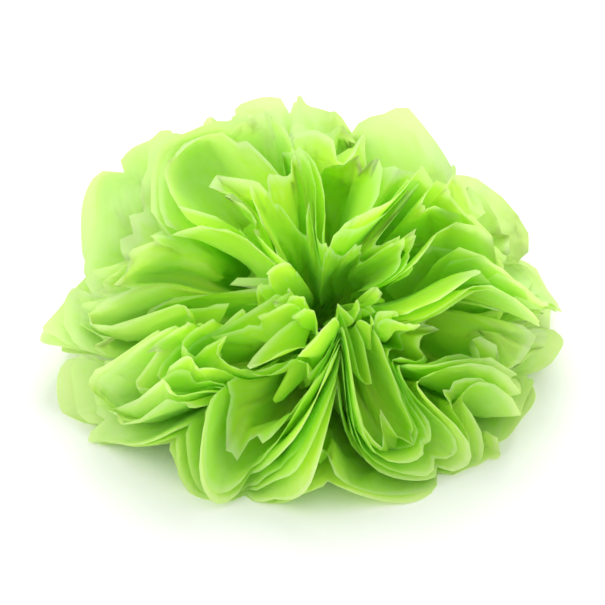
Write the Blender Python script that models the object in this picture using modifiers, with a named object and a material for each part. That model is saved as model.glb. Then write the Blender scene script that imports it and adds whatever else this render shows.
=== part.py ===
"""Tissue paper pom pom: twelve sheets pleated as one stack, tied with wire and fluffed into a flower.

Each sheet is a fan on both sides of the wire. The near fan opens towards -Y and the far fan
towards +Y, and the sheets are pulled up one by one, so they nest like bowls from the lowest
sheet on the table to the innermost one. The flower leans towards -Y.
Lengths are in metres and angles in degrees. +Z is up and the table is z = 0.
"""
import math

import bmesh
import bpy
import numpy as np
from mathutils import Matrix

# The paper as it is cut and folded
SHEETS = 12
PLEATS = 8
PLEAT_WIDTH = 0.046
PETAL_LENGTH = 0.099
PETAL_NOTCH = 0.009
PAPER_THICKNESS = 0.0002
PAPER_GAP = 0.0006

# The tie
WAIST_WIDTH = 0.017
WIRE_DIAMETER = 0.0009
WIRE_CLEARANCE = 0.0003
WIRE_TURNS = 2
RING_SIDE_ROOM = 0.0030
RING_SQUARENESS = 6
TAIL_LENGTH = 0.014
TAIL_TWIST = 0.007
TABLE_TO_WIRE = 0.006

# How the fans open: azimuths about the flower's axis, lifts above the plane across that axis
FLOWER_LEAN = 45.0
SEAM_ANGLE = 0.5
LOWEST_LIFT = 5.0
HIGHEST_LIFT = 83.0
NEAR_SPREAD = 0.45
FAR_SPREAD = 0.10
STEEPEST = 1.1
CUP_DEPTH = 0.28
RIM_CURL = 9.0

# How the sheets leave the stack under the wire
WAIST_LEAN = 12.0
WAIST_REACH = 0.0024
WAIST_BOW = 0.0025
SIDE_NESTING = 0.35
WAIST_TAPER = 0.5
WAIST_FOLD = 0.06

# How far hand fluffing leaves folds, gaps and petals uneven
FOLD_DRIFT = 3.0
LIFT_DRIFT = 2.0
FOLD_VARIETY = 0.25
GAP_VARIETY = 0.4
SMALLEST_GAP = 0.60
RUFFLE_DEPTH = 0.009
RUFFLE_LENGTH = 0.120
RUFFLE_START = 0.015
RUFFLE_WAVES = 6
SEED = 12

# The mesh: stations are shares of a petal's free length, from where it leaves the stack to the rim
STATIONS = (0.0, 0.14, 0.36, 0.66, 1.0)
COLUMNS_PER_PLEAT = 2
RING_POINTS = 20
TAIL_POINTS = 10

LAYER_PITCH = PAPER_THICKNESS + PAPER_GAP
STACK_HEIGHT = (SHEETS - 1) * LAYER_PITCH
FAN_ANGLE = min(math.pi - 2 * math.radians(SEAM_ANGLE), 0.97 * PLEATS * PLEAT_WIDTH / PETAL_LENGTH)
STACK_ROOM = STACK_HEIGHT / 2 + WAIST_FOLD * WAIST_WIDTH / PLEATS + PAPER_THICKNESS / 2
TIE_HEIGHT = TABLE_TO_WIRE + WIRE_DIAMETER + WIRE_CLEARANCE + STACK_ROOM


def smooth(share):
    """0 to 1 with level ends."""
    share = np.clip(share, 0.0, 1.0)
    return share * share * (3.0 - 2.0 * share)


def ripple(seed, across, along, per_pleat, per_petal, waves=7):
    """A smooth random field over the paper, about -1 to 1."""
    random = np.random.default_rng(seed)
    field = 0.0
    for _ in range(waves):
        field = field + np.cos(
            2 * math.pi * (random.normal(0, per_pleat) * across + random.normal(0, per_petal) * along)
            + random.uniform(0, 2 * math.pi)
        )
    return field * math.sqrt(2.0 / waves)


def zigzag(across, softness):
    """+1 at the even folds and -1 at the odd ones, sharp where softness is 0."""
    sharp = 1.0 - softness
    return np.arcsin(sharp * np.cos(math.pi * across)) / np.arcsin(sharp)


def layer_levels(half, across, along):
    """The level of every sheet over one point of the fan, 0 for the lowest and 1 for the top.

    The gaps between sheets differ from place to place and are never zero, so no two sheets meet.
    """
    loose = smooth((along - 0.3) / 0.6)
    levels = [np.zeros_like(across)]
    for gap in range(SHEETS - 1):
        wander = ripple(100 * SEED + 17 * gap + half, across, along, 0.36, 0.55)
        levels.append(levels[-1] + SMALLEST_GAP + np.exp(GAP_VARIETY * wander * loose))
    return np.array(levels) / levels[-1]


def petal_length(half, across, sheet):
    """From the wire to the rim: rounded at each petal and dipped at each fold."""
    pleat = np.minimum(np.floor(across), PLEATS - 1)
    place = 2 * (across - pleat) - 1
    random = np.random.default_rng(50 + sheet)
    trims = random.uniform(-0.03, 0.03, (2, PLEATS))[0 if half < 0 else 1]
    full = PETAL_LENGTH * (1 + trims[pleat.astype(int)] * (1 - place**2))
    return full - PETAL_NOTCH * (1 - np.sqrt(np.maximum(1 - np.abs(place) ** 2.3, 0)))


def ruffle(place):
    """One slow, random push that the whole flower shares, as fluffing by hand leaves it."""
    pick = np.random.default_rng(SEED + 50)
    push = np.zeros_like(place)
    for _ in range(RUFFLE_WAVES):
        heading = pick.normal(size=3)
        heading *= 2 * math.pi / (RUFFLE_LENGTH * pick.uniform(0.8, 1.6) * np.linalg.norm(heading))
        push += pick.normal(size=3) * np.sin(place @ heading + pick.uniform(0, 2 * math.pi))[..., None]
    outer = smooth((np.linalg.norm(place, axis=-1) - RUFFLE_START) / (PETAL_LENGTH - RUFFLE_START))
    return RUFFLE_DEPTH * outer[..., None] * push / math.sqrt(RUFFLE_WAVES)


def leaving(across, level):
    """How far from the wire's middle a fold line turns up: upper sheets first, and their sides first."""
    bow = 1 - (2 * across / PLEATS - 1) ** 2
    nested = (1 - level) * STACK_HEIGHT * (SIDE_NESTING + (1 - SIDE_NESTING) * bow)
    return WAIST_REACH + WAIST_BOW * bow + nested


def paper_point(half, across, distance, level):
    """Where a point of the paper lies: half is -1 near and +1 far, across counts pleats.

    Under the wire the sheets are a flat stack. Past it each fold line keeps to its own half plane
    through the flower's axis, and the sheets are ordered there by their lift, so they stay apart.
    """
    share = across / PLEATS
    along = distance / PETAL_LENGTH
    crowd = NEAR_SPREAD if half < 0 else FAR_SPREAD
    fan = FAN_ANGLE + 2 * leaving(across, level) / PETAL_LENGTH * smooth(along / 0.7)
    turn = math.pi / 2 + fan * (share - 0.5 - crowd / (2 * math.pi) * np.sin(2 * math.pi * share))
    pitch = fan / PLEATS * (1 - crowd * np.cos(2 * math.pi * share))
    table = -half * np.arctan(math.tan(math.radians(FLOWER_LEAN)) * np.sin(turn))
    top = math.radians(HIGHEST_LIFT)
    room = (top - table) / (top + math.radians(FLOWER_LEAN))

    lift = table + math.radians(LOWEST_LIFT) + (top - table - math.radians(LOWEST_LIFT)) * level
    open_width = PETAL_LENGTH * np.cos(lift) * pitch
    swing = np.arctan2(0.5 * np.sqrt(np.maximum(PLEAT_WIDTH**2 - open_width**2, 0)), PETAL_LENGTH)
    swing = np.minimum(swing, STEEPEST * pitch * np.cos(lift))
    swing = swing * (0.10 + 0.90 * smooth((along - 0.08) / 0.60))
    vary = 1 + FOLD_VARIETY * ripple(1100 + half, across, level, 0.35, 0.5) * room
    fold = zigzag(across, 0.02 + 0.22 * along**2) - CUP_DEPTH * np.sin(math.pi * across) ** 2 * along
    drift = math.radians(LIFT_DRIFT) * ripple(1300 + half, across, level, 0.12, 0.5) * room * np.cos(lift)
    curl = math.radians(RIM_CURL) * room * np.maximum(along - 0.6, 0.0) ** 2 / 0.16
    rise = lift + drift + swing * vary * fold - curl
    free = smooth((along - 0.2) / 0.6) * np.minimum(1.0, 6.4 * share * (1 - share))
    turn = turn + math.radians(FOLD_DRIFT) * ripple(900 + half, across, level, 0.30, 0.9) * free * room

    lean = math.radians(FLOWER_LEAN)
    x = -np.cos(turn) * np.cos(rise)
    y = half * np.sin(turn) * np.cos(rise)
    z = np.sin(rise)
    free_length = np.maximum(distance - leaving(across, level), 0.0)
    petal = free_length[..., None] * np.stack(
        [x, y * math.cos(lean) - z * math.sin(lean), y * math.sin(lean) + z * math.cos(lean)], -1
    )

    slope = math.radians(WAIST_LEAN)
    width = WAIST_WIDTH * (1 - WAIST_TAPER * level)
    height = (level - 0.5) * STACK_HEIGHT + WAIST_FOLD * width / PLEATS * zigzag(across, 0.01)
    held = half * np.minimum(distance, leaving(across, level))
    waist = np.stack(
        [
            (share - 0.5) * width,
            held * math.cos(slope) - height * math.sin(slope),
            held * math.sin(slope) + height * math.cos(slope),
        ],
        -1,
    )
    point = waist + petal
    point = point + ruffle(point)
    point[..., 2] += TIE_HEIGHT
    floor = PAPER_THICKNESS / 2 + level * STACK_HEIGHT
    point[..., 2] = np.maximum(point[..., 2], floor)
    return point


def add_sheet(collection, number, material):
    """One sheet of paper: a flat grid, its rim cut round, laid in its folds and given its thickness."""
    bm = bmesh.new()
    rows = len(STATIONS)
    bmesh.ops.create_grid(bm, x_segments=COLUMNS_PER_PLEAT * PLEATS, y_segments=2 * rows, size=1)
    rims = [e for e in bm.edges if all(abs(abs(v.co.y) - 1) < 1e-6 for v in e.verts)]
    bmesh.ops.subdivide_edges(bm, edges=rims, cuts=1)

    flat = np.array([v.co[:2] for v in bm.verts])
    across = (flat[:, 0] + 1) / 2 * PLEATS
    row = np.abs(flat[:, 1]) * rows
    places = np.zeros((len(flat), 3))
    for half in (-1, 1):
        mine = flat[:, 1] * half > -1e-9
        u, station = across[mine], row[mine]
        base = leaving(u, (number - 1) / (SHEETS - 1))
        free = np.interp(station, np.arange(1, rows + 1), STATIONS)
        distance = np.minimum(station, 1) * base + free * (petal_length(half, u, number) - base)
        level = layer_levels(half, u, distance / PETAL_LENGTH)[number - 1]
        places[mine] = paper_point(half, u, distance, level)
    for vert, place in zip(bm.verts, places):
        vert.co = place
    bmesh.ops.triangulate(bm, faces=bm.faces[:], quad_method="FIXED")

    mesh = bpy.data.meshes.new(f"sheet_{number:02d}")
    bm.to_mesh(mesh)
    bm.free()
    mesh.shade_smooth()
    mesh.materials.append(material)
    sheet = bpy.data.objects.new(mesh.name, mesh)
    collection.objects.link(sheet)
    paper = sheet.modifiers.new("Paper thickness", "SOLIDIFY")
    paper.thickness = PAPER_THICKNESS
    paper.offset = 0
    paper.use_even_offset = False
    return sheet


def wire_route():
    """The wire's centre line: in along the tail, round the waist, and out along the tail again."""
    radius = WIRE_DIAMETER / 2
    strand = radius + WIRE_CLEARANCE
    wide = WAIST_WIDTH / 2 + RING_SIDE_ROOM + radius
    high = STACK_ROOM + WIRE_CLEARANCE + radius
    wound = WIRE_DIAMETER + WIRE_CLEARANCE
    points = []
    for step in range(WIRE_TURNS * RING_POINTS + 1):
        turn = 2 * math.pi * step / RING_POINTS
        side = (step / RING_POINTS - WIRE_TURNS / 2) * wound
        cosine, sine = math.cos(turn), math.sin(turn)
        square = (abs(cosine) ** RING_SQUARENESS + abs(sine) ** RING_SQUARENESS) ** (1 / RING_SQUARENESS)
        points.append((wide * cosine / square, side, high * sine / square))
    tail_in, tail_out = [], []
    for step in range(1, TAIL_POINTS + 1):
        out = TAIL_LENGTH * step / TAIL_POINTS
        twist = 2 * math.pi * out / TAIL_TWIST
        centre = wide + WIRE_DIAMETER + out
        across, up = strand * math.cos(twist), strand * math.sin(twist)
        tail_in.append((centre, -across, -up))
        tail_out.append((centre, across, up))
    return tail_in[::-1] + points + tail_out


def add_wire(collection, material):
    """The tie: one thin wire with its two ends twisted together at the +X side."""
    curve = bpy.data.curves.new("tie_wire", "CURVE")
    curve.dimensions = "3D"
    curve.bevel_depth = WIRE_DIAMETER / 2
    curve.bevel_resolution = 2
    curve.use_fill_caps = True
    route = wire_route()
    spline = curve.splines.new("POLY")
    spline.points.add(len(route) - 1)
    for point, place in zip(spline.points, route):
        point.co = (*place, 1)
    curve.materials.append(material)
    wire = bpy.data.objects.new("tie_wire", curve)
    wire.location = (0, 0, TIE_HEIGHT)
    wire.rotation_euler = (math.radians(WAIST_LEAN), 0, 0)
    collection.objects.link(wire)
    return wire


def plain_material(name, colour, roughness, metallic):
    """A Principled BSDF with one colour."""
    material = bpy.data.materials.new(name)
    material.use_nodes = True
    shader = material.node_tree.nodes["Principled BSDF"]
    shader.inputs["Base Color"].default_value = (*colour, 1)
    shader.inputs["Roughness"].default_value = roughness
    shader.inputs["Metallic"].default_value = metallic
    return material


def centre_on_origin(sheets, wire):
    """Moves the whole pom pom so that its bounding box is centred over the origin."""
    corners = np.array([vert.co for sheet in sheets for vert in sheet.data.vertices])
    middle = (corners.min(axis=0) + corners.max(axis=0)) / 2
    shift = Matrix.Translation((-middle[0], -middle[1], 0.0))
    for sheet in sheets:
        sheet.data.transform(shift)
    wire.location = shift @ wire.location


def main():
    """Builds the pom pom from an empty scene."""
    for old in list(bpy.data.objects):
        bpy.data.objects.remove(old, do_unlink=True)
    collection = bpy.data.collections.new("tissue_pom_pom")
    bpy.context.scene.collection.children.link(collection)
    tissue = plain_material("tissue_paper", (0.33, 0.72, 0.05), 0.75, 0.0)
    steel = plain_material("steel_wire", (0.55, 0.56, 0.57), 0.35, 1.0)
    sheets = [add_sheet(collection, number, tissue) for number in range(1, SHEETS + 1)]
    wire = add_wire(collection, steel)
    centre_on_origin(sheets, wire)


main()
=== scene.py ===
"""Looks of a tissue paper pom pom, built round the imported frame.

Every CAD sheet is replaced by the same sheet of paper as real tissue shows it: much finer in its
folds, with soft petal rims and crumples, and in thin paper that lets light through. The wire tie
keeps its CAD shape and gets a steel finish. Lengths are in metres and +Z is up.
"""
from __future__ import annotations

import logging
import math
from dataclasses import dataclass, field
from enum import Enum

import bmesh
import bpy
import numpy as np
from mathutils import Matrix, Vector

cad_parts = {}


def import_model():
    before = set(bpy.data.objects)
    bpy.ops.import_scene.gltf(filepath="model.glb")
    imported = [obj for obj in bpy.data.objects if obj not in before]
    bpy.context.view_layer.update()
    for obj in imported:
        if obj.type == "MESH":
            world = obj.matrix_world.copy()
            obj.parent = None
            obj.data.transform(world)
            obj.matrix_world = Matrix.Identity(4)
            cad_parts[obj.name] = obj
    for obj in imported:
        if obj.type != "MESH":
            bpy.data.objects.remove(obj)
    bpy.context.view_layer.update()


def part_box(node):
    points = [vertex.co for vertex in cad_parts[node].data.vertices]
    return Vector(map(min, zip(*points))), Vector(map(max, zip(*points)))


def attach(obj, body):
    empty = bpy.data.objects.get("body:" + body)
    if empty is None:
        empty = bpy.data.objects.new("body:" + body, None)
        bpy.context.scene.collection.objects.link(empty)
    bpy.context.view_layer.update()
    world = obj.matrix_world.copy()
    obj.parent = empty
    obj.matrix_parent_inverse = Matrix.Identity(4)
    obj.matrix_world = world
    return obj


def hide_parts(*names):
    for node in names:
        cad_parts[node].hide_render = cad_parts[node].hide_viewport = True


LOG = logging.getLogger("pom_pom")
Colour = tuple[float, float, float]


class Half(Enum):
    """The two fans that one sheet opens into, by the sign of their side along Y."""

    NEAR = -1
    FAR = 1

    @property
    def row(self) -> int:
        """The fan's place in a pair of values, near first."""
        return 0 if self is Half.NEAR else 1


@dataclass(frozen=True)
class Cut:
    """How the paper is cut, folded and stacked.

    It follows the CAD source, apart from the longer far petals and the stronger trims of single petals.
    """

    sheets: int = 12
    pleats: int = 8
    pleat_width: float = 0.046
    petal_length: float = 0.099
    petal_notch: float = 0.009
    far_length: float = 1.04
    longest_trim: float = 0.03
    pushed_in: float = 0.10
    inner_shy: float = 0.15
    inner_from: float = 0.4
    rim_tear: float = 0.0004
    layer_pitch: float = 0.0008
    waist_width: float = 0.017
    ring_room: float = 0.0039

    @property
    def stack_height(self) -> float:
        """The height of the flat stack under the wire."""
        return (self.sheets - 1) * self.layer_pitch


@dataclass(frozen=True)
class Fluff:
    """How far the fans are opened and how unevenly, with angles in degrees.

    Pairing joins every two pleats of the inner sheets into one broad fold, in the near and the far fan.
    """

    flower_lean: float = 45.0
    seam_angle: float = 0.5
    lowest_lift: float = 5.0
    highest_lift_near: float = 86.0
    highest_lift_far: float = 83.0
    fan_fill: float = 0.97
    near_spread: float = 0.45
    far_spread: float = 0.10
    steepest: float = 1.1
    cup_depth: float = 0.28
    pairing: tuple[float, float] = (0.3, 0.95)
    pairing_from: float = 0.30
    pairing_over: float = 0.55
    waist_lean: float = 12.0
    waist_reach: float = 0.0024
    waist_bow: float = 0.0025
    side_nesting: float = 0.35
    waist_taper: float = 0.5
    waist_fold: float = 0.06
    fold_drift: float = 3.0
    lift_drift: float = 2.0
    fold_variety: float = 0.5
    gap_variety: float = 1.15
    smallest_gap: float = 0.2
    ruffle_depth: float = 0.009
    ruffle_length: float = 0.120
    ruffle_start: float = 0.015
    ruffle_waves: int = 6
    seed: int = 12
    crumple_share: float = 0.34
    crumple_limit: float = 1.25
    flutter_depth: float = 0.005
    flutter_length: float = 0.05
    flutter_waves: int = 8
    rim_curl: float = 9.0
    table_gap: float = 0.0001


def smooth(share: np.ndarray) -> np.ndarray:
    """Turns 0..1 into 0..1 with level ends.

    Args:
        share: The values to ease, clipped to 0..1 first.

    Returns:
        The eased values.
    """
    share = np.clip(share, 0.0, 1.0)
    return share * share * (3.0 - 2.0 * share)


def ripple(
    seed: int, across: np.ndarray, along: np.ndarray, per_pleat: float, per_petal: float, waves: int = 7
) -> np.ndarray:
    """Gives a smooth random field over the paper, about 0 and with a spread of about 1.

    Args:
        seed: Picks the field.
        across: Place across the sheet, counted in pleats.
        along: Place along the petal as a share of its length.
        per_pleat: Typical waves in one pleat.
        per_petal: Typical waves in one petal's length.
        waves: How many waves are added.

    Returns:
        The field at each place.
    """
    random = np.random.default_rng(seed)
    total = np.zeros(np.broadcast(across, along).shape)
    for _ in range(waves):
        phase = random.normal(0, per_pleat) * across + random.normal(0, per_petal) * along
        total = total + np.cos(2 * math.pi * phase + random.uniform(0, 2 * math.pi))
    return total * math.sqrt(2.0 / waves)


def zigzag(across: np.ndarray, softness: np.ndarray | float) -> np.ndarray:
    """Gives +1 at even folds and -1 at odd ones.

    Args:
        across: Place across the sheet, counted in pleats.
        softness: 0 for sharp folds, towards 1 for waves.

    Returns:
        The fold's height at each place.
    """
    sharp = 1.0 - softness
    return np.arcsin(sharp * np.cos(math.pi * across)) / np.arcsin(sharp)


def push_waves(place: np.ndarray, seed: int, length: float, waves: int) -> np.ndarray:
    """Gives a smooth random push at each point of space.

    Args:
        place: Points, one a row.
        seed: Picks the field.
        length: The typical wave length.
        waves: How many waves are added.

    Returns:
        One push vector for each point, about 1 long.
    """
    pick = np.random.default_rng(seed)
    push = np.zeros_like(place)
    for _ in range(waves):
        heading = pick.normal(size=3)
        heading *= 2 * math.pi / (length * pick.uniform(0.8, 1.6) * np.linalg.norm(heading))
        push += pick.normal(size=3) * np.sin(place @ heading + pick.uniform(0, 2 * math.pi))[..., None]
    return push / math.sqrt(waves)


@dataclass
class Flower:
    """The fluffed paper as a mapping from a place on a flat sheet to a place in space."""

    tie: Vector
    cut: Cut = field(default_factory=Cut)
    fluff: Fluff = field(default_factory=Fluff)

    def levels(self, half: Half, across: np.ndarray, along: np.ndarray) -> np.ndarray:
        """Gives the level of every sheet over one point of a fan.

        Args:
            half: Which fan.
            across: Place across the sheet, counted in pleats.
            along: Place along the petal as a share of its length.

        Returns:
            One row for each sheet, from 0 for the lowest to 1 for the top.
        """
        f = self.fluff
        loose = smooth((along - 0.3) / 0.6)
        gaps = []
        for gap in range(self.cut.sheets - 1):
            wander = ripple(100 * f.seed + 17 * gap + half.value, across, along, 0.36, 0.55)
            gaps.append(f.smallest_gap + np.exp(f.gap_variety * wander * loose))
        bounds = np.vstack([np.zeros_like(across)[None], np.cumsum(gaps, axis=0)])
        return bounds / bounds[-1]

    def crumpled_level(self, half: Half, across: np.ndarray, along: np.ndarray, number: int) -> np.ndarray:
        """Gives one sheet's level with its own crumples, kept inside its gaps to both neighbours.

        Args:
            half: Which fan.
            across: Place across the sheet, counted in pleats.
            along: Place along the petal as a share of its length.
            number: The sheet, 1 for the lowest.

        Returns:
            The level at each place.
        """
        levels = self.levels(half, across, along)
        level = levels[number - 1]
        above = (levels[number] if number < self.cut.sheets else level + 0.05) - level
        below = level - (levels[number - 2] if number > 1 else level - 0.02)
        seed = 5000 + 40 * number + half.value
        soft = ripple(seed, across, along, 0.9, 1.6)
        fine = ripple(seed + 7, across, along, 2.2, 3.2)
        limit = self.fluff.crumple_limit
        crumple = np.clip(0.62 * soft + 0.30 * fine, -limit, limit) * smooth((along - 0.12) / 0.4)
        room = np.where(crumple > 0, above, below)
        return level + self.fluff.crumple_share * crumple * room

    def petal_reach(self, half: Half, across: np.ndarray, number: int) -> np.ndarray:
        """Gives the distance from the wire to the rim, rounded at each petal and dipped at each fold.

        Args:
            half: Which fan.
            across: Place across the sheet, counted in pleats.
            number: The sheet, 1 for the lowest.

        Returns:
            The distance at each place across.
        """
        pleat = np.minimum(np.floor(across), self.cut.pleats - 1)
        place = 2 * (across - pleat) - 1
        random = np.random.default_rng(50 + number)
        shy = self.cut.inner_shy * max(0.0, (number - 1) / (self.cut.sheets - 1) - self.cut.inner_from)
        both = random.uniform(-self.cut.pushed_in - shy, self.cut.longest_trim, (2, self.cut.pleats))
        trims = both[half.row]
        length = self.cut.petal_length * (self.cut.far_length if half is Half.FAR else 1.0)
        full = length * (1 + trims[pleat.astype(int)] * (1 - place**2))
        rounding = 1 - np.sqrt(np.maximum(1 - np.abs(place) ** 2.3, 0))
        torn = self.cut.rim_tear * ripple(7000 + number + half.value, across, across * 0, 1.6, 1.0)
        return full - self.cut.petal_notch * rounding + torn

    def leaving(self, across: np.ndarray, level: np.ndarray | float) -> np.ndarray:
        """Gives how far from the wire's middle a fold line turns up.

        Args:
            across: Place across the sheet, counted in pleats.
            level: The sheet's level.

        Returns:
            The distance, shorter for upper sheets and at the sides.
        """
        f = self.fluff
        bow = 1 - (2 * across / self.cut.pleats - 1) ** 2
        nested = (1 - level) * self.cut.stack_height * (f.side_nesting + (1 - f.side_nesting) * bow)
        return f.waist_reach + f.waist_bow * bow + nested

    def waist(self, half: Half, across: np.ndarray, distance: np.ndarray, level: np.ndarray) -> np.ndarray:
        """Gives the point's place in the flat stack under the wire.

        Args:
            half: Which fan.
            across: Place across the sheet, counted in pleats.
            distance: Distance from the wire along the paper.
            level: The sheet's level there.

        Returns:
            Points about the tie's middle.
        """
        f = self.fluff
        slope = math.radians(f.waist_lean)
        width = self.cut.waist_width * (1 - f.waist_taper * level)
        fold = f.waist_fold * width / self.cut.pleats * zigzag(across, 0.01)
        height = (level - 0.5) * self.cut.stack_height + fold
        held = half.value * np.minimum(distance, self.leaving(across, level))
        return np.stack(
            [
                (across / self.cut.pleats - 0.5) * width,
                held * math.cos(slope) - height * math.sin(slope),
                held * math.sin(slope) + height * math.cos(slope),
            ],
            -1,
        )

    def petal(self, half: Half, across: np.ndarray, distance: np.ndarray, level: np.ndarray) -> np.ndarray:
        """Gives the way from the stack's edge out to the point, along its fanned fold line.

        Args:
            half: Which fan.
            across: Place across the sheet, counted in pleats.
            distance: Distance from the wire along the paper.
            level: The sheet's level there.

        Returns:
            Vectors to add to the waist's points.
        """
        f, c, side = self.fluff, self.cut, half.value
        share, along = across / c.pleats, distance / c.petal_length
        crowd = f.near_spread if half is Half.NEAR else f.far_spread
        seam = math.radians(f.seam_angle)
        fan = min(math.pi - 2 * seam, f.fan_fill * c.pleats * c.pleat_width / c.petal_length)
        fan = fan + 2 * self.leaving(across, level) / c.petal_length * smooth(along / 0.7)
        turn = math.pi / 2 + fan * (share - 0.5 - crowd / (2 * math.pi) * np.sin(2 * math.pi * share))
        pitch = fan / c.pleats * (1 - crowd * np.cos(2 * math.pi * share))
        lean = math.radians(f.flower_lean)
        top = math.radians(f.highest_lift_near if half is Half.NEAR else f.highest_lift_far)
        table = -side * np.arctan(math.tan(lean) * np.sin(turn))
        room = (top - table) / (top + lean)

        low = table + math.radians(f.lowest_lift)
        lift = low + (top - low) * level
        open_width = c.petal_length * np.cos(lift) * pitch
        swing = np.arctan2(0.5 * np.sqrt(np.maximum(c.pleat_width**2 - open_width**2, 0)), c.petal_length)
        swing = np.minimum(swing, f.steepest * pitch * np.cos(lift))
        swing = swing * (0.10 + 0.90 * smooth((along - 0.08) / 0.60))
        vary = 1 + f.fold_variety * ripple(1100 + side, across, level, 0.35, 0.5) * room
        softness = 0.02 + 0.22 * along**2
        single = zigzag(across, softness) - f.cup_depth * np.sin(math.pi * across) ** 2 * along
        double = 2 * zigzag(across / 2 - 0.5, 0.10 + softness)
        paired = f.pairing[half.row] * smooth((level - f.pairing_from) / f.pairing_over)
        fold = single + paired * (double - single)
        drift = math.radians(f.lift_drift) * ripple(1300 + side, across, level, 0.12, 0.5) * room * np.cos(lift)
        curl = math.radians(f.rim_curl) * room * np.maximum(along - 0.6, 0.0) ** 2 / 0.16
        rise = lift + drift + swing * vary * fold - curl
        free = smooth((along - 0.2) / 0.6) * np.minimum(1.0, 6.4 * share * (1 - share))
        turn = turn + math.radians(f.fold_drift) * ripple(900 + side, across, level, 0.30, 0.9) * free * room

        x = -np.cos(turn) * np.cos(rise)
        y = side * np.sin(turn) * np.cos(rise)
        z = np.sin(rise)
        out = np.stack(
            [x, y * math.cos(lean) - z * math.sin(lean), y * math.sin(lean) + z * math.cos(lean)], -1
        )
        return np.maximum(distance - self.leaving(across, level), 0.0)[..., None] * out

    def place(self, half: Half, across: np.ndarray, distance: np.ndarray, level: np.ndarray) -> np.ndarray:
        """Gives where a point of the paper lies in the object's frame.

        Args:
            half: Which fan.
            across: Place across the sheet, counted in pleats.
            distance: Distance from the wire along the paper.
            level: The sheet's level there.

        Returns:
            Points in the object's frame, kept above the table. The sheets keep their order, apart from small
            crossings, most of them where the inner sheets' pleats are paired.
        """
        f, c = self.fluff, self.cut
        point = self.waist(half, across, distance, level) + self.petal(half, across, distance, level)
        outer = smooth((np.linalg.norm(point, axis=-1) - f.ruffle_start) / (c.petal_length - f.ruffle_start))
        slow = f.ruffle_depth * push_waves(point, f.seed + 50, f.ruffle_length, f.ruffle_waves)
        quick = f.flutter_depth * push_waves(point, f.seed + 90, f.flutter_length, f.flutter_waves)
        point = point + outer[..., None] * slow + (outer**2)[..., None] * quick
        point = point + np.array(self.tie)
        lowest = f.table_gap + level * c.stack_height
        point[..., 2] = np.maximum(point[..., 2], lowest)
        return point


@dataclass
class PaperSheet:
    """One sheet of the pom pom, from a flat grid to its ruffled place in the flower."""

    flower: Flower
    number: int
    columns: int = 12
    rows: int = 34
    waist_rows: int = 3
    row_crowding: float = 1.15

    def build(self, finish: bpy.types.Material) -> bpy.types.Object:
        """Builds the sheet's object.

        Args:
            finish: The tissue's material.

        Returns:
            The finished piece, which stands for its CAD node.
        """
        name = f"tissue_{self.number:02d}"
        mesh = bpy.data.meshes.new(name)
        bm = bmesh.new()
        bm.loops.layers.uv.new("paper")
        half_rows = self.waist_rows + self.rows
        bmesh.ops.create_grid(
            bm, x_segments=self.columns * self.flower.cut.pleats, y_segments=2 * half_rows, size=1, calc_uvs=True
        )
        flat = np.array([vert.co[:2] for vert in bm.verts])
        for vert, point in zip(bm.verts, self._fold(flat, half_rows)):
            vert.co = point
        bm.to_mesh(mesh)
        bm.free()
        mesh.shade_smooth()
        mesh.materials.append(finish)
        piece = bpy.data.objects.new(name, mesh)
        bpy.context.scene.collection.objects.link(piece)
        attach(piece, "root")
        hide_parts(f"sheet_{self.number:02d}")
        return piece

    def _fold(self, flat: np.ndarray, half_rows: int) -> np.ndarray:
        """Moves the flat grid's points to their places in the flower.

        Args:
            flat: The grid's points, from -1 to 1 both ways.
            half_rows: Rows of the grid on one side of the wire.

        Returns:
            The folded points.
        """
        flower = self.flower
        across = (flat[:, 0] + 1) / 2 * flower.cut.pleats
        row = np.abs(flat[:, 1]) * half_rows
        points = np.zeros((len(flat), 3))
        for half in Half:
            mine = flat[:, 1] * half.value > -1e-9
            u, station = across[mine], row[mine]
            base = flower.leaving(u, (self.number - 1) / (flower.cut.sheets - 1))
            free = np.clip((station - self.waist_rows) / self.rows, 0, 1) ** self.row_crowding
            held = np.minimum(station / self.waist_rows, 1.0)
            distance = held * base + free * (flower.petal_reach(half, u, self.number) - base)
            level = flower.crumpled_level(half, u, distance / flower.cut.petal_length, self.number)
            points[mine] = flower.place(half, u, distance, level)
        return points


@dataclass
class Graph:
    """A material's node tree with short ways to add and join nodes."""

    material: bpy.types.Material

    @classmethod
    def named(cls, name: str) -> Graph:
        """Makes a new material with an empty tree.

        Args:
            name: The material's name.

        Returns:
            The graph to fill.
        """
        material = bpy.data.materials.new(name)
        material.use_nodes = True
        material.node_tree.nodes.clear()
        return cls(material)

    def add(self, kind: str, settings: dict[str, object] | None = None, **inputs: object) -> bpy.types.Node:
        """Adds one node.

        Args:
            kind: The node's type name.
            settings: Properties of the node itself.
            **inputs: Input sockets, by number as i0 or by name with _ for a space: a value, or a socket to join.

        Returns:
            The node.
        """
        node = self.material.node_tree.nodes.new(kind)
        for key, value in (settings or {}).items():
            setattr(node, key, value)
        for key, value in inputs.items():
            socket = self._input(node, key)
            if isinstance(value, bpy.types.NodeSocket):
                self.material.node_tree.links.new(value, socket)
            else:
                socket.default_value = value
        return node

    @staticmethod
    def _input(node: bpy.types.Node, key: str) -> bpy.types.NodeSocket:
        """Finds an input socket.

        Args:
            node: The node.
            key: The input's number as i0, or its name with _ for a space.

        Returns:
            The socket.
        """
        if key[0] == "i" and key[1:].isdigit():
            return node.inputs[int(key[1:])]
        return node.inputs[key.replace("_", " ")]


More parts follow.
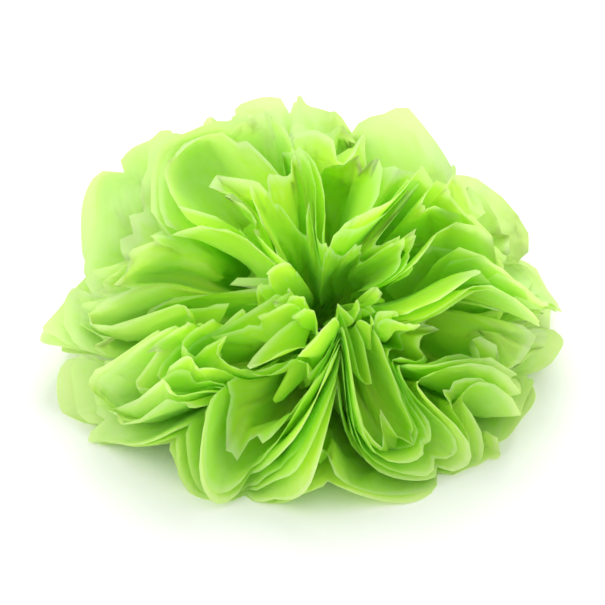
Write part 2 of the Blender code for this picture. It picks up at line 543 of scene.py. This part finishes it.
@dataclass(frozen=True)
class Tissue:
    """Thin lime green tissue paper: matt, a little cloudy, and lit through from behind.

    It is painted paler with the distance from the flower's axis, which stands on the tie, and along the rims:
    painted light for the brighter lit outer petals and thin rims.
    """

    tie: tuple[float, float, float]
    lean: float
    deep: Colour = (0.60, 0.94, 0.05)
    # The pale colours are painted light, towards which the outer petals and rims are painted paler; the paper's
    # mottle also pulls a little towards them.
    mottle_and_painted_light_pale: Colour = (0.80, 0.96, 0.46)
    through: Colour = (0.63, 0.97, 0.05)
    mottle_and_painted_light_through: Colour = (0.78, 0.98, 0.30)
    # Painted light: where the paling starts and ends off the axis, and where and how strongly the rims are painted
    # paler.
    painted_light_from: float = 0.045
    painted_light_to: float = 0.105
    painted_rim_light_from: float = 0.484
    painted_rim_light_share: float = 0.8
    paper_shape: tuple[float, float, float] = (1.77, 1.0, 1.0)
    cloud_scale: float = 34.0
    cloudiness: float = 0.20
    through_share: float = 0.50
    roughness: float = 0.72
    gloss: float = 0.6
    fuzz: float = 0.15
    fuzz_tint: Colour = (0.93, 1.0, 0.72)
    crease_scale: float = 22.0
    crease_strength: float = 0.35
    crease_height: float = 0.0006

    def make(self) -> bpy.types.Material:
        """Returns the tissue's material."""
        graph = Graph.named("tissue_paper_lime")
        paper = graph.add("ShaderNodeTexCoord").outputs["UV"]
        sheet = graph.add("ShaderNodeMapping", Vector=paper, Scale=self.paper_shape).outputs["Vector"]
        cloud = graph.add(
            "ShaderNodeTexNoise", Vector=sheet, Scale=self.cloud_scale, Detail=4.0, Roughness=0.6
        ).outputs["Fac"]
        # Painted light: how far each point lies off the flower's axis, so the outer petals are painted paler.
        place = graph.add("ShaderNodeTexCoord").outputs["Object"]
        from_tie = graph.add("ShaderNodeVectorMath", {"operation": "SUBTRACT"}, i0=place, i1=self.tie)
        axis = (0.0, -math.sin(math.radians(self.lean)), math.cos(math.radians(self.lean)))
        off_axis = graph.add(
            "ShaderNodeVectorMath", {"operation": "CROSS_PRODUCT"}, i0=from_tie.outputs["Vector"], i1=axis
        )
        spread = graph.add("ShaderNodeVectorMath", {"operation": "LENGTH"}, i0=off_axis.outputs["Vector"])
        outer = graph.add(
            "ShaderNodeMapRange",
            {"interpolation_type": "SMOOTHSTEP"},
            i0=spread.outputs["Value"],
            i1=self.painted_light_from,
            i2=self.painted_light_to,
        ).outputs["Result"]
        # Painted light: the paling towards the petal rims at both ends of each sheet.
        way = graph.add("ShaderNodeSeparateXYZ", Vector=paper).outputs["Y"]
        centred = graph.add("ShaderNodeMath", {"operation": "ADD"}, i0=way, i1=-0.5).outputs["Value"]
        out = graph.add("ShaderNodeMath", {"operation": "ABSOLUTE"}, i0=centred).outputs["Value"]
        edge = graph.add(
            "ShaderNodeMapRange",
            {"interpolation_type": "SMOOTHSTEP"},
            i0=out,
            i1=self.painted_rim_light_from,
            i2=0.5,
            i4=self.painted_rim_light_share,
        ).outputs["Result"]
        rim = graph.add("ShaderNodeMath", {"operation": "ADD"}, i0=outer, i1=edge).outputs["Value"]
        # The mottle is the paper's own cloudy tone, added to the painted light share.
        mottle = graph.add("ShaderNodeMapRange", i0=cloud, i1=0.3, i2=0.7, i3=-self.cloudiness, i4=self.cloudiness)
        painted_light_and_mottle = graph.add(
            "ShaderNodeMath", {"operation": "ADD", "use_clamp": True}, i0=rim, i1=mottle.outputs["Result"]
        ).outputs["Value"]
        blend = {"data_type": "RGBA"}
        # Painted light: the surface colour and the colour passed through mix towards the paler colours by that
        # share.
        colour = graph.add("ShaderNodeMix", blend, i0=painted_light_and_mottle, i6=(*self.deep, 1), i7=(*self.mottle_and_painted_light_pale, 1))
        lit = graph.add("ShaderNodeMix", blend, i0=painted_light_and_mottle, i6=(*self.through, 1), i7=(*self.mottle_and_painted_light_through, 1))
        crease = graph.add(
            "ShaderNodeTexNoise", Vector=sheet, Scale=self.crease_scale, Detail=7.0, Roughness=0.62, Distortion=0.6
        )
        bump = graph.add(
            "ShaderNodeBump",
            Strength=self.crease_strength,
            Distance=self.crease_height,
            Height=crease.outputs["Fac"],
        )
        front = graph.add(
            "ShaderNodeBsdfPrincipled",
            Base_Color=colour.outputs[2],
            Roughness=self.roughness,
            Specular_IOR_Level=self.gloss,
            Sheen_Weight=self.fuzz,
            Sheen_Roughness=0.5,
            Sheen_Tint=(*self.fuzz_tint, 1),
            Normal=bump.outputs["Normal"],
        )
        glow = graph.add("ShaderNodeBsdfTranslucent", Color=lit.outputs[2], Normal=bump.outputs["Normal"])
        both = graph.add(
            "ShaderNodeMixShader", i0=self.through_share, i1=front.outputs["BSDF"], i2=glow.outputs["BSDF"]
        )
        graph.add("ShaderNodeOutputMaterial", Surface=both.outputs["Shader"])
        return graph.material


@dataclass(frozen=True)
class Wire:
    """Thin galvanised wire with faint drawing marks."""

    colour: Colour = (0.55, 0.56, 0.57)
    roughness: float = 0.34
    dullest: float = 0.54
    mark_scale: float = 900.0
    mark_depth: float = 0.0001

    def make(self) -> bpy.types.Material:
        """Returns the wire's material."""
        graph = Graph.named("galvanised_wire")
        place = graph.add("ShaderNodeTexCoord").outputs["Object"]
        marks = graph.add("ShaderNodeTexNoise", Vector=place, Scale=self.mark_scale, Detail=3.0)
        dull = graph.add(
            "ShaderNodeMapRange", Value=marks.outputs["Fac"], To_Min=self.roughness, To_Max=self.dullest
        )
        bump = graph.add("ShaderNodeBump", Strength=0.15, Distance=self.mark_depth, Height=marks.outputs["Fac"])
        metal = graph.add(
            "ShaderNodeBsdfPrincipled",
            Base_Color=(*self.colour, 1),
            Metallic=1.0,
            Roughness=dull.outputs["Result"],
            Normal=bump.outputs["Normal"],
        )
        graph.add("ShaderNodeOutputMaterial", Surface=metal.outputs["BSDF"])
        return graph.material


@dataclass(frozen=True)
class Lamp:
    """One soft square lamp, with its place and side in metres and its power in watts."""

    name: str
    place: tuple[float, float, float]
    size: float
    power: float


@dataclass
class Studio:
    """The plain white floor, the soft light and the camera at the photograph's angle."""

    target: Vector = field(default_factory=lambda: Vector((0.0, 0.0, 0.0315)))
    elevation: float = 35.0
    azimuth: float = -8.0
    distance: float = 1.4
    frame_width: float = 0.242
    world_strength: float = 1.0
    floor_half_side: float = 4.0
    floor_white: float = 0.95
    lamps: tuple[Lamp, ...] = (
        Lamp("key_above_behind", (0.25, 0.65, 0.95), 0.8, 6.0),
        Lamp("side", (-0.9, -0.3, 0.8), 0.7, 2.0),
    )

    def camera(self) -> None:
        """Sets the camera at the photograph's viewing angle."""
        turn, up = math.radians(self.azimuth), math.radians(self.elevation)
        away = Vector((math.sin(turn) * math.cos(up), -math.cos(turn) * math.cos(up), math.sin(up)))
        data = bpy.data.cameras.new("camera")
        data.sensor_width = 36.0
        data.lens = data.sensor_width * self.distance / self.frame_width
        camera = bpy.data.objects.new("camera", data)
        camera.location = self.target + away * self.distance
        camera.rotation_euler = away.to_track_quat("Z", "Y").to_euler()
        bpy.context.scene.collection.objects.link(camera)
        bpy.context.scene.camera = camera

    def light(self, lamp: Lamp) -> None:
        """Adds one lamp aimed at the object.

        Args:
            lamp: The lamp to set up.
        """
        data = bpy.data.lights.new(lamp.name, "AREA")
        data.size = lamp.size
        data.energy = lamp.power
        place = Vector(lamp.place)
        light = bpy.data.objects.new(lamp.name, data)
        light.location = place
        light.rotation_euler = (place - self.target).to_track_quat("Z", "Y").to_euler()
        bpy.context.scene.collection.objects.link(light)

    def floor(self) -> None:
        """Lays the matt white floor."""
        bm = bmesh.new()
        bmesh.ops.create_grid(bm, x_segments=1, y_segments=1, size=self.floor_half_side)
        mesh = bpy.data.meshes.new("floor")
        bm.to_mesh(mesh)
        bm.free()
        graph = Graph.named("floor_white")
        place = graph.add("ShaderNodeTexCoord").outputs["Object"]
        grain = graph.add("ShaderNodeTexNoise", Vector=place, Scale=60.0, Detail=2.0)
        bump = graph.add("ShaderNodeBump", Strength=0.05, Distance=0.0005, Height=grain.outputs["Fac"])
        white = (self.floor_white, self.floor_white, self.floor_white, 1)
        matt = graph.add("ShaderNodeBsdfDiffuse", Color=white, Normal=bump.outputs["Normal"])
        graph.add("ShaderNodeOutputMaterial", Surface=matt.outputs["BSDF"])
        mesh.materials.append(graph.material)
        floor = bpy.data.objects.new("floor", mesh)
        bpy.context.scene.collection.objects.link(floor)

    def world(self) -> None:
        """Surrounds the object with even white light."""
        world = bpy.data.worlds.new("studio")
        bpy.context.scene.world = world
        world.use_nodes = True
        tree = world.node_tree
        tree.nodes.clear()
        light = tree.nodes.new("ShaderNodeBackground")
        light.inputs["Color"].default_value = (1, 1, 1, 1)
        light.inputs["Strength"].default_value = self.world_strength
        out = tree.nodes.new("ShaderNodeOutputWorld")
        tree.links.new(light.outputs["Background"], out.inputs["Surface"])

    def build(self) -> None:
        """Sets up camera, floor, lamps and world."""
        bpy.context.scene.view_settings.view_transform = "Standard"
        self.camera()
        self.floor()
        self.world()
        for lamp in self.lamps:
            self.light(lamp)


def tie_middle(cut: Cut) -> Vector:
    """Finds the middle of the wire's ring in the CAD frame.

    Args:
        cut: The paper's sizes.

    Returns:
        The middle of the ring.
    """
    low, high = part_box("tie_wire")
    return Vector((low[0] + cut.waist_width / 2 + cut.ring_room, (low[1] + high[1]) / 2, (low[2] + high[2]) / 2))


def main() -> None:
    """Builds the studio, the sheets and the wire's finish."""
    logging.basicConfig(level=logging.INFO, format="%(name)s: %(message)s")
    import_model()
    Studio().build()
    cut = Cut()
    flower = Flower(tie=tie_middle(cut), cut=cut)
    tissue = Tissue(tuple(flower.tie), flower.fluff.flower_lean).make()
    for number in range(1, cut.sheets + 1):
        piece = PaperSheet(flower, number).build(tissue)
        LOG.info("%s: %d faces", piece.name, len(piece.data.polygons))
    wire = bpy.data.objects["tie_wire"]
    for slot in wire.material_slots:
        slot.material = Wire().make()
    LOG.info("wire finished")


if __name__ == "__main__":
    main()
